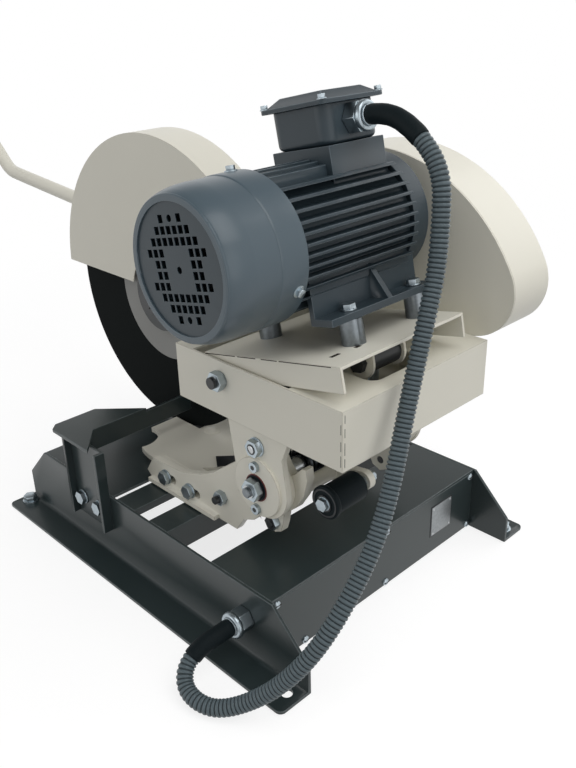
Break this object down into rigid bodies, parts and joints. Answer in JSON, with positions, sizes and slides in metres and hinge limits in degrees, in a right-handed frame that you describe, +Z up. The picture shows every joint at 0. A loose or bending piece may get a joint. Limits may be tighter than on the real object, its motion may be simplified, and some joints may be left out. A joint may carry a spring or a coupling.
{
  "type": "pendulum cut-off saw",
  "caption": "Pendulum cut-off saw: a belt-driven abrasive disc under a guard on a swinging head with its motor, on a mitre turntable over a welded floor base.",
  "frame": {"origin": "on the floor, at the centre of the four floor-bolt holes", "axes": "+X to the operator's right, the fan side; +Y to the rear, away from the operator; +Z up"},
  "size_m": [0.5383, 1.1313, 0.6017],
  "materials": {
    "base_paint": "gloss dark grey paint",
    "cream_paint": "satin cream paint",
    "motor_paint": "satin blue-grey paint",
    "motor_alloy": "blue-grey paint over cast alloy",
    "zinc_steel": "bright zinc plating",
    "bright_steel": "ground steel",
    "cast_iron": "turned and oiled",
    "abrasive": "coarse black abrasive",
    "black_rubber": "matte black",
    "black_plastic": "moulded",
    "grey_plastic": "ribbed grey"
  },
  "bodies": {
    "base": {"side_plate_right": "base_paint", "side_plate_left": "base_paint", "rear_deck": "base_paint", "deck_strips": "base_paint", "front_deck": "base_paint", "rear_panel": "base_paint", "front_panel": "base_paint", "base_gland": "zinc_steel", "work_table_right": "base_paint", "work_table_left": "base_paint", "post_bolts": "zinc_steel", "fixed_jaw": "base_paint", "vise_bracket": "base_paint", "turntable_base": "cream_paint", "conduit_lower": "grey_plastic", "lower_sleeve": "black_rubber"},
    "turret": {"turntable": "cream_paint", "kingpin": "bright_steel", "yoke_wall_right": "cream_paint", "yoke_wall_left": "cream_paint", "hook_frame": "cream_paint", "bumper": "black_rubber", "pivot_shaft": "bright_steel", "yoke_bolts": "zinc_steel", "return_spring": "bright_steel"},
    "head": {"swing_arms": "cream_paint", "head_bearings": "bright_steel", "head_box": "cream_paint", "head_bolts": "zinc_steel", "hinge_bolt": "zinc_steel", "tension_bolt": "zinc_steel", "spindle_arm": "cream_paint", "disc_guard": "cream_paint", "handle_rod": "cream_paint", "handle_grip": "black_rubber", "belt_guard_back": "cream_paint", "belt_guard_cover": "cream_paint", "drive_belts": "black_rubber", "conduit_upper": "grey_plastic"},
    "motor": {"motor_plate": "cream_paint", "tension_barrel": "bright_steel", "motor_spacers": "zinc_steel", "foot_bolts": "zinc_steel", "motor_body": "motor_paint", "drive_shield": "motor_alloy", "fan_cover": "motor_paint", "terminal_box": "motor_alloy", "terminal_lid": "motor_alloy", "motor_gland": "zinc_steel", "upper_sleeve": "black_rubber"},
    "rotor": {"rotor_shaft": "bright_steel", "cooling_fan": "black_plastic", "motor_pulley": "cast_iron"},
    "spindle": {"spindle_shaft": "bright_steel", "spindle_pulley": "cast_iron", "clamp_flanges": "cast_iron", "abrasive_disc": "abrasive", "spindle_nut": "bright_steel"},
    "vise_jaw": {"vise_jaw": "cast_iron"},
    "vise_screw": {"vise_screw": "bright_steel"}
  },
  "joints": [
    {"name": "mitre_swivel", "type": "hinge", "parent": "base", "child": "turret", "pos_m": [0, -0.092, 0.1], "axis": [0, 0, 1], "range_deg": [-30, 0], "deforming": ["conduit_lower"]},
    {"name": "head_swing", "type": "hinge", "parent": "turret", "child": "head", "pos_m": [0, 0.1615, 0.184], "axis": [-1, 0, 0], "range_deg": [0, 37.5], "deforming": ["conduit_upper", "return_spring"]},
    {"name": "motor_tension", "type": "hinge", "parent": "head", "child": "motor", "pos_m": [0, 0.109, 0.303], "axis": [1, 0, 0], "range_deg": [0, 3], "deforming": ["drive_belts", "upper_sleeve"]},
    {"name": "rotor_spin", "type": "hinge", "parent": "motor", "child": "rotor", "pos_m": [0, 0.15155, 0.45732], "axis": [1, 0, 0], "continuous": true},
    {"name": "spindle_spin", "type": "hinge", "parent": "head", "child": "spindle", "pos_m": [0, -0.182, 0.296], "axis": [1, 0, 0], "continuous": true},
    {"name": "vise_slide", "type": "slide", "parent": "base", "child": "vise_jaw", "axis": [0, 1, 0], "range_m": [0, 0.05]},
    {"name": "vise_turn", "type": "hinge", "parent": "vise_jaw", "child": "vise_screw", "pos_m": [-0.165, -0.25, 0.189], "axis": [0, 1, 0], "range_deg": [0, 3001]}
  ],
  "couplings": [
    {"joint": "spindle_spin", "follows": "rotor_spin", "ratio": 1.2632},
    {"joint": "vise_turn", "follows": "vise_slide", "rad_per_m": 1047.2}
  ]
}
